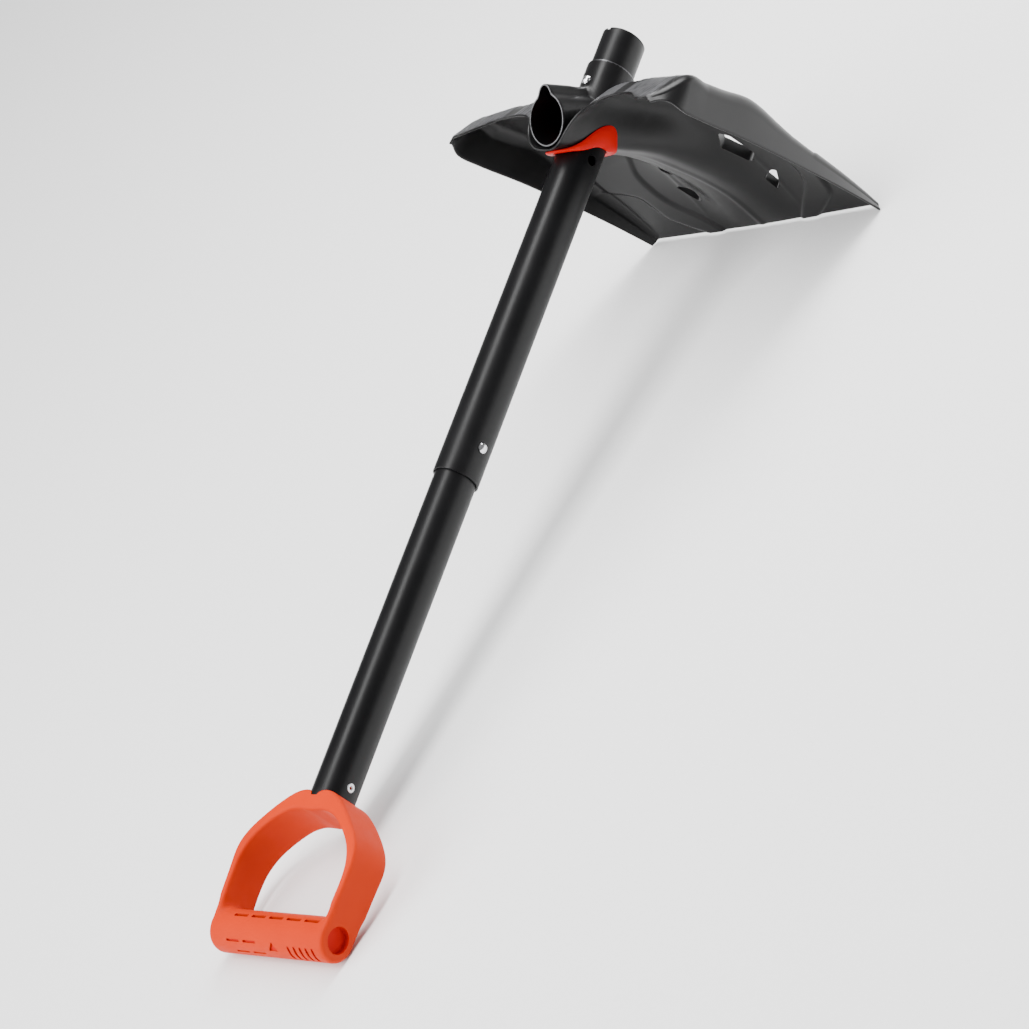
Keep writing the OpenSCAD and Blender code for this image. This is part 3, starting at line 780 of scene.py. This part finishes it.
def make_socket():
    shell = prism(teardrop(SOCKET_WALL), -2, MOUTH_REACH, "socket_shell", ALONG_SOCKET)
    oval_part = oval(BORE_A + SOCKET_WALL, BORE_B + SOCKET_WALL, 120) + [BORE_CENTRE, 0]
    combine(shell, prism(oval_part, SOCKET_END, 0, transform=ALONG_SOCKET), "UNION")
    combine(shell, prism(oval(COLLAR_FACE, COLLAR_SIDE, 120), 0, COLLAR_TOP + 4), "UNION")
    fair_socket(shell)
    bore_socket(shell)
    paint_socket(shell)
    soft_shading(shell, 45)
    return finish_piece(shell, "blade", "socket_tube")


# ---------------------------------------------------------------- ring
RING_A, RING_B = 20.3, 17.8
FLANGE_A, FLANGE_B = 27.0, 20.5
RING_GAP = 0.8
FLANGE_THICKNESS = 1.7
STEEPEST = 3.4


def steepness(x, w, e=0.5):
    """How much thicker the sloping sheet is along Z than across itself."""
    slope_x = (floor_at(x + e, w) - floor_at(x - e, w)) / (2 * e)
    slope_w = (floor_at(x, w + e) - floor_at(x, np.maximum(w - e, 0))) / (2 * e)
    return np.sqrt(1 + slope_x ** 2 + slope_w ** 2)


def under_sheet(x, y, gap):
    """Height of a surface that follows the hollow side of the blade at a gap."""
    w = np.maximum(np.abs(y), 0.5)
    return floor_at(x, w) - (SHEET / 2 + gap) * np.minimum(STEEPEST, steepness(x, w))


def sleeve_top(x):
    return SLEEVE_TOP + x * math.tan(math.radians(SOCKET_TILT))


def make_ring(steps=180):
    """The moulding that lines the blade's hole, with soft edges all round."""
    t = np.linspace(0, 2 * np.pi, steps, endpoint=False)
    unit = np.stack([np.cos(t), np.sin(t)], 1)
    inner = unit * [OUTER_A + 0.4, OUTER_B + 0.4]
    sleeve = unit * [RING_A, RING_B]
    outer = unit * [FLANGE_A, FLANGE_B]
    deep = RING_GAP + FLANGE_THICKNESS
    bulge = [(0.0, deep - 0.6), (0.04, deep), (0.25, deep + 0.5), (0.5, deep + 0.7),
             (0.75, deep + 0.45), (0.93, deep - 0.1), (1.0, deep - 0.8), (0.99, RING_GAP + 0.2),
             (0.93, RING_GAP)]
    rings = []
    for share, gap in bulge:
        xy = inner * (1 - share) + outer * share
        rings.append(np.column_stack([xy, under_sheet(xy[:, 0], xy[:, 1], gap)]))
    rings.append(np.column_stack([sleeve, under_sheet(sleeve[:, 0], sleeve[:, 1], RING_GAP)]))
    rings.append(np.column_stack([sleeve, sleeve_top(sleeve[:, 0])]))
    rings.append(np.column_stack([inner, sleeve_top(inner[:, 0])]))
    points, faces = tube_loft(rings, loop=True)
    ring = new_piece("ring_moulding", points, [f[::-1] for f in faces])
    # Painted shade: the ring's deeper red stands for the orange plastic in shade.
    set_materials(ring, RING_SHADE_RED)
    soft_shading(ring, 50)
    return finish_piece(ring, "blade", "hoe_ring")


# ---------------------------------------------------------------- tubes
NOTCH_R = 2
RIVET_HOLE_R = 2.05


def side_drill(radius, z, turn=90):
    """A round cutter from the shaft axis towards -Y (turn 90) or -X (turn 0)."""
    lay = Matrix.Rotation(math.radians(-90), 4, "Y")
    spin = Matrix.Rotation(math.radians(turn), 4, "Z")
    return prism(oval(radius, radius, 48), 0, 30,
                 transform=PLACE @ Matrix.Translation((0, 0, z)) @ spin @ lay)


def make_upper_tube():
    tube = rounded_tube("outer_tube", OUTER_A, OUTER_B, TUBE_WALL, UPPER_END, STUB_HEIGHT)
    combine(tube, side_drill(LOCK_HOLE_R, BLADE_LOCK_Z, turn=0), "DIFFERENCE")
    for z in (TELESCOPE_LOCK_Z, COLLAPSED_LOCK_Z):
        combine(tube, side_drill(LOCK_HOLE_R, z), "DIFFERENCE")
    lay = Matrix.Rotation(math.radians(90), 4, "Y")
    notch = Matrix.Translation((-OUTER_A - 4, 0, STUB_HEIGHT)) @ lay
    combine(tube, prism(oval(NOTCH_R, NOTCH_R, 32), 0, 8, transform=PLACE @ notch), "DIFFERENCE")
    set_materials(tube, TUBE_BLACK)
    soft_shading(tube, 35)
    return finish_piece(tube, "upper_shaft", "upper_tube")


def make_lower_tube():
    tube = rounded_tube("inner_tube", INNER_A, INNER_B, TUBE_WALL, TUBE_SEAT, LOWER_TOP)
    combine(tube, side_drill(LOCK_HOLE_R, TELESCOPE_LOCK_Z), "DIFFERENCE")
    for turn in (90, -90):
        combine(tube, side_drill(RIVET_HOLE_R, RIVET_Z, turn=turn), "DIFFERENCE")
    set_materials(tube, TUBE_BLACK)
    soft_shading(tube, 35)
    return finish_piece(tube, "lower_shaft", "lower_tube")


# ---------------------------------------------------------------- grip
FRAME_OUTER = [(0, 97), (9, 99.5), (20, 97), (33, 88.5), (46, 77), (56, 65.5), (60.5, 54), (60.5, 37),
               (59.5, 18), (58, 0)]
FRAME_INNER = [(0, 84), (14, 84.5), (26, 81), (37.5, 73), (48, 62), (53.8, 49.5), (55, 36),
               (54, 18), (52.5, 0)]
FRAME_EDGE = 1.8
DEPTH_BAR, DEPTH_TOP = 15.0, 16.7
RECESS_R, RECESS_DEPTH = 9.0, 3.5
# The bar's straight grooves: their angle around it, where each starts along it, and their
# length, width and depth.
GROOVE_DEPTH = 1.6
GROOVES = (
    (-62, (-49, -31, -13, 5, 23), 14, 2.6, 3.0),
    (-134, (26, 9), 13, 1.8, GROOVE_DEPTH),
    (-168, (20, 3), 13, 1.8, GROOVE_DEPTH),
    (-160, (-49, -43, -37, -31, -25), 2.2, 12.0, GROOVE_DEPTH),
)
WEDGE_ANGLE, WEDGE = -142, [(-3.5, -12), (3.5, -7.5), (-3.5, -3)]


def even_line(table, count):
    """Points at even steps along a smooth line through design points."""
    table = np.asarray(table, float)
    ahead = np.concatenate([table[1:], table[-1:]])
    behind = np.concatenate([table[:1], table[:-1]])
    tangent = (ahead - behind) / 2
    fine = []
    for i in range(len(table) - 1):
        for t in np.linspace(0, 1, 24, endpoint=False):
            fine.append(table[i] * (1 + 2 * t) * (1 - t) ** 2 + tangent[i] * t * (1 - t) ** 2
                        + table[i + 1] * t * t * (3 - 2 * t) + tangent[i + 1] * t * t * (t - 1))
    fine = np.array(fine + [table[-1]])
    length = np.concatenate([[0], np.cumsum(np.linalg.norm(np.diff(fine, axis=0), axis=1))])
    at = np.linspace(0, length[-1], count)
    return np.stack([np.interp(at, length, fine[:, k]) for k in (0, 1)], 1)


def frame_side(table, count, sign):
    """Whole outline of one side of the frame's band, with its outward normals."""
    half = even_line(table, count)
    line = np.concatenate([half[::-1] * [-1, 1], half[1:]])
    direction = np.gradient(line, axis=0)
    normal = np.stack([-direction[:, 1], direction[:, 0]], 1)
    return line, sign * normal / np.linalg.norm(normal, axis=1, keepdims=True)


def make_grip_frame(count=110, edge_steps=6):
    """The band of the grip, swept around its outline with rounded edges."""
    turns = np.linspace(0, np.pi / 2, edge_steps)
    rings = []
    for table, first in ((FRAME_OUTER, -1), (FRAME_INNER, 1)):
        line, out = frame_side(table, count, -first)
        for side, order in ((first, turns), (-first, turns[::-1])):
            for t in order:
                flat = line - out * (FRAME_EDGE * (1 - math.sin(t)))
                depth = DEPTH_BAR + (DEPTH_TOP - DEPTH_BAR) * ease((flat[:, 1] - 30) / 50)
                lower = FRAME_EDGE * (1 - math.cos(t))
                x = side * (depth - lower)
                rings.append(np.column_stack([x, flat[:, 0], flat[:, 1] - BAR_DROP]))
    sections = np.array(rings).transpose(1, 0, 2)
    points, faces = tube_loft(list(sections), close_ends=True)
    return new_piece("grip_moulding", points, faces)


def bar_profile():
    """Half-outline of the grip bar, as (radius, distance along it), with rounded ends."""
    edge = 3.0
    turns = np.linspace(0, np.pi / 2, 6)
    low = [(BAR_RADIUS - edge + edge * math.sin(t), -BAR_HALF + edge - edge * math.cos(t))
           for t in turns]
    return low + [(r, -y) for r, y in reversed(low)]


LAY_BAR = Matrix.Translation((0, 0, -BAR_DROP)) @ Matrix.Rotation(math.radians(90), 4, "X")


def bar_groove(grip, angle, corners, depth):
    """Cuts a shallow shape into the bar at an angle around it; corners are (across, along) it."""
    outline = rounded_outline(corners, 0.7, 3)
    cutter = prism(outline, BAR_RADIUS - depth, BAR_RADIUS + 3,
                   transform=PLACE @ Matrix.Translation((0, 0, -BAR_DROP))
                   @ Matrix.Rotation(math.radians(angle), 4, "Y"))
    combine(grip, cutter, "DIFFERENCE")


def cut_grooves(grip):
    for angle, starts, length, width, depth in GROOVES:
        half = width / 2
        for start in starts:
            end = start + length
            corners = [(-half, start), (half, start), (half, end), (-half, end)]
            bar_groove(grip, angle, corners, depth)
    bar_groove(grip, WEDGE_ANGLE, WEDGE, GROOVE_DEPTH)


def fair_grip(grip):
    """Turns the frame and the bar into one skin, with fillets where they meet."""
    voxel_skin(grip, SKIN_VOXEL)
    points = mesh_points(grip)
    height = points[:, 2] + BAR_DROP
    from_axis = np.hypot(points[:, 0], height)
    joint = ease((np.abs(points[:, 1]) - 38) / 8) * ease((26 - from_axis) / 6)
    joint = joint * ease((height + 2) / 8)
    relax(grip, 0.1 + 0.9 * joint, 40)
    relax(grip, np.full(len(points), 0.6), 3)


def seat_grip(grip):
    """Adds the plug that goes into the tube, and cuts the seat for the tube's wall around it."""
    plug = prism(oval(INNER_A - TUBE_WALL - 0.2, INNER_B - TUBE_WALL - 0.2),
                 TUBE_SEAT - 2, GRIP_TOP + 32)
    combine(grip, plug, "UNION")
    seat = rounded_tube("cutter", INNER_A + 0.3, INNER_B + 0.2, TUBE_WALL + 0.5,
                        TUBE_SEAT, GRIP_TOP + 12, edge=0.1, segments=96, lengths=6)
    combine(grip, seat, "DIFFERENCE")


def cut_recesses(grip):
    recess_profile = [(RECESS_R - 0.6, -RECESS_DEPTH), (RECESS_R, -RECESS_DEPTH + 1),
                      (RECESS_R, RECESS_DEPTH)]
    for side, flip in ((-1, Matrix.Identity(4)), (1, Matrix.Rotation(math.pi, 4, "X"))):
        end = Matrix.Translation((0, side * BAR_HALF, 0))
        recess = lathe(recess_profile, 64, "cutter", PLACE @ end @ LAY_BAR @ flip)
        combine(grip, recess, "DIFFERENCE")


def make_grip():
    grip = make_grip_frame()
    combine(grip, lathe(bar_profile(), 96, "bar", PLACE @ LAY_BAR), "UNION")
    fair_grip(grip)
    seat_grip(grip)
    cut_recesses(grip)
    cut_grooves(grip)
    set_materials(grip, GRIP_ORANGE, RECESS_SHADE_RED)

    # Painted shade: the faces in the end recesses and in the bar's grooves get the deeper red.
    def sunken(p, n):
        from_axis = math.hypot(p.x, p.z + BAR_DROP)
        in_recess = abs(p.y) > BAR_HALF - RECESS_DEPTH - 1 and from_axis < RECESS_R + 0.1
        return in_recess or (abs(p.y) < BAR_HALF - 6 and from_axis < BAR_RADIUS - 0.4)

    paint_faces(grip, 1, sunken)
    soft_shading(grip, 40)
    return finish_piece(grip, "lower_shaft", "grip")


# ---------------------------------------------------------------- rivets and lock buttons
BUTTON_DOME = 2.8
BUTTON_FOOT_R = BUTTON_R + 1.2
BLADE_BUTTON_FOOT = OUTER_A - TUBE_WALL - 2.2
TELESCOPE_BUTTON_FOOT = INNER_B - TUBE_WALL - 1.8


def make_rivets():
    """Rolled eyelet heads that lie almost flush in the lower tube."""
    rivets = None
    profile = [(0.9, -4.0), (1.95, -4.0), (1.95, -0.5), (3.0, -0.35), (3.3, -0.1), (3.15, 0.12),
               (2.6, 0.24), (1.9, 0.22), (1.3, 0.0), (1.1, -0.4), (0.9, -2.0)]
    t = np.linspace(0, 2 * np.pi, 48, endpoint=False)
    for turn in (0, 180):
        rings = []
        for r, z in profile:
            x = r * np.cos(t)
            sag = INNER_B * (1 - np.sqrt(1 - (x / INNER_A) ** 2))
            rings.append(np.column_stack([x, -(INNER_B + z - sag), r * np.sin(t)]))
        points, faces = tube_loft(rings, loop=True)
        spin = Matrix.Translation((0, 0, RIVET_Z)) @ Matrix.Rotation(math.radians(turn), 4, "Z")
        one = new_piece("rivet_heads", points, faces, PLACE @ spin)
        rivets = one if rivets is None else combine(rivets, one, "UNION")
    set_materials(rivets, RIVET_STEEL)
    soft_shading(rivets, 50)
    return finish_piece(rivets, "lower_shaft", "grip_rivets")


def button_profile(shank):
    """Foot, shank and domed head of a lock button, as (radius, height over the tube)."""
    ball = BUTTON_R + 0.6
    centre = BUTTON_DOME - ball
    profile = [(0.02, -shank), (BUTTON_FOOT_R, -shank), (BUTTON_FOOT_R, 1 - shank),
               (BUTTON_R, 1.2 - shank)]
    start = math.asin(min(1, (BUTTON_R - 0.35) / ball))
    profile += [(BUTTON_R, centre + ball * math.cos(start) - 0.35)]
    for t in np.linspace(start, 0.01, 14):
        profile.append((ball * math.sin(t), centre + ball * math.cos(t)))
    return profile


def make_button(name, shank, body, node, stand):
    button = lathe(button_profile(shank), 64, name, PLACE @ stand)
    set_materials(button, POLISHED)
    soft_shading(button, 40)
    return finish_piece(button, body, node)


def make_buttons():
    back_turn = Matrix.Rotation(math.radians(-90), 4, "Y")
    back_stand = Matrix.Translation((-COLLAR_FACE, 0, BLADE_LOCK_Z)) @ back_turn
    make_button("blade_button_dome", COLLAR_FACE - BLADE_BUTTON_FOOT,
                "blade_button", "blade_lock_button", back_stand)
    side_turn = Matrix.Rotation(math.radians(90), 4, "X")
    side_stand = Matrix.Translation((0, -OUTER_B, TELESCOPE_LOCK_Z)) @ side_turn
    make_button("telescope_button_dome", OUTER_B - TELESCOPE_BUTTON_FOOT,
                "telescope_button", "telescope_lock_button", side_stand)


# ---------------------------------------------------------------- camera, light and floor
CAMERA_PLACE = (-1.0341, -1.4096, 0.9979)
CAMERA_AIM = (-0.01326, -0.01873, 0.05859)
CAMERA_ROLL = -36.96
CAMERA_LENS = 96.03
FLOOR_HALF = 30.0
FLOOR_LEVEL = -0.0005
WORLD_STRENGTH = 0.3
KEY_ENERGY, KEY_ANGLE, KEY_DIRECTION = 4.2, 60, (0.6, -0.3, -0.75)
# Each area light: its place, what it faces, its size in metres and its power in watts.
AREA_LIGHTS = {
    "overhead_strip": ((0.0, -0.25, 1.7), (0.0, -0.25, 0.0), (2.4, 0.45), 55),
    "hollow_fill": ((-2.5, 0.8, 0.9), (0.33, 0.0, 0.1), (1.6, 1.2), 40),
    "ridge_glow": ((1.7, -0.1, 1.5), (0.3, 0.0, 0.1), (1.2, 0.9), 42),
}


def make_camera():
    data = bpy.data.cameras.new("camera")
    data.lens = CAMERA_LENS
    data.sensor_width = 36
    data.clip_end = 100
    camera = bpy.data.objects.new("camera", data)
    bpy.context.scene.collection.objects.link(camera)
    camera.location = CAMERA_PLACE
    look = (Vector(CAMERA_AIM) - Vector(CAMERA_PLACE)).to_track_quat("-Z", "Y")
    roll = Matrix.Rotation(math.radians(CAMERA_ROLL), 4, "Z").to_quaternion()
    camera.rotation_mode = "QUATERNION"
    camera.rotation_quaternion = look @ roll
    bpy.context.scene.camera = camera


def area_light(name, place, aim, size, power):
    data = bpy.data.lights.new(name, "AREA")
    data.shape = "RECTANGLE"
    data.size, data.size_y = size
    data.energy = power
    light = bpy.data.objects.new(name, data)
    bpy.context.scene.collection.objects.link(light)
    light.location = place
    light.rotation_mode = "QUATERNION"
    light.rotation_quaternion = (Vector(aim) - Vector(place)).to_track_quat("-Z", "Y")


def make_studio():
    corners = [(-1, -1), (1, -1), (1, 1), (-1, 1)]
    points = [(x * FLOOR_HALF, y * FLOOR_HALF, FLOOR_LEVEL) for x, y in corners]
    floor = new_piece("floor", points, [(0, 1, 2, 3)], Matrix.Identity(4))
    material, tree, shader = shader_nodes("floor_paper")
    paper = noise(tree, tool_coordinates(tree), 300.0, 3.0)
    shade = mix_colour(tree, ramp(tree, paper, 0.0, 1.0), (0.86,) * 3, (0.88,) * 3)
    tree.links.new(shade, shader.inputs["Base Color"])
    shader.inputs["Roughness"].default_value = 0.9
    set_materials(floor, material)
    world = bpy.data.worlds.new("studio")
    world.use_nodes = True
    background = world.node_tree.nodes["Background"]
    background.inputs["Color"].default_value = (1, 1, 1, 1)
    background.inputs["Strength"].default_value = WORLD_STRENGTH
    bpy.context.scene.world = world
    sun = bpy.data.lights.new("key", "SUN")
    sun.energy = KEY_ENERGY
    sun.angle = math.radians(KEY_ANGLE)
    key = bpy.data.objects.new("key", sun)
    bpy.context.scene.collection.objects.link(key)
    key.rotation_mode = "QUATERNION"
    key.rotation_quaternion = Vector(KEY_DIRECTION).to_track_quat("-Z", "Y")
    for name, (place, aim, size, power) in AREA_LIGHTS.items():
        area_light(name, place, aim, size, power)


make_camera()
make_blade()
make_socket()
make_ring()
make_upper_tube()
make_lower_tube()
make_grip()
make_rivets()
make_buttons()
for name, material in (("blade_lock_spring", SPRING_STEEL), ("telescope_lock_spring", SPRING_STEEL),
                       ("tube_guide", GUIDE_NYLON)):
    set_materials(frame["nodes"][name], material)
make_studio()

bpy.context.view_layer.update()
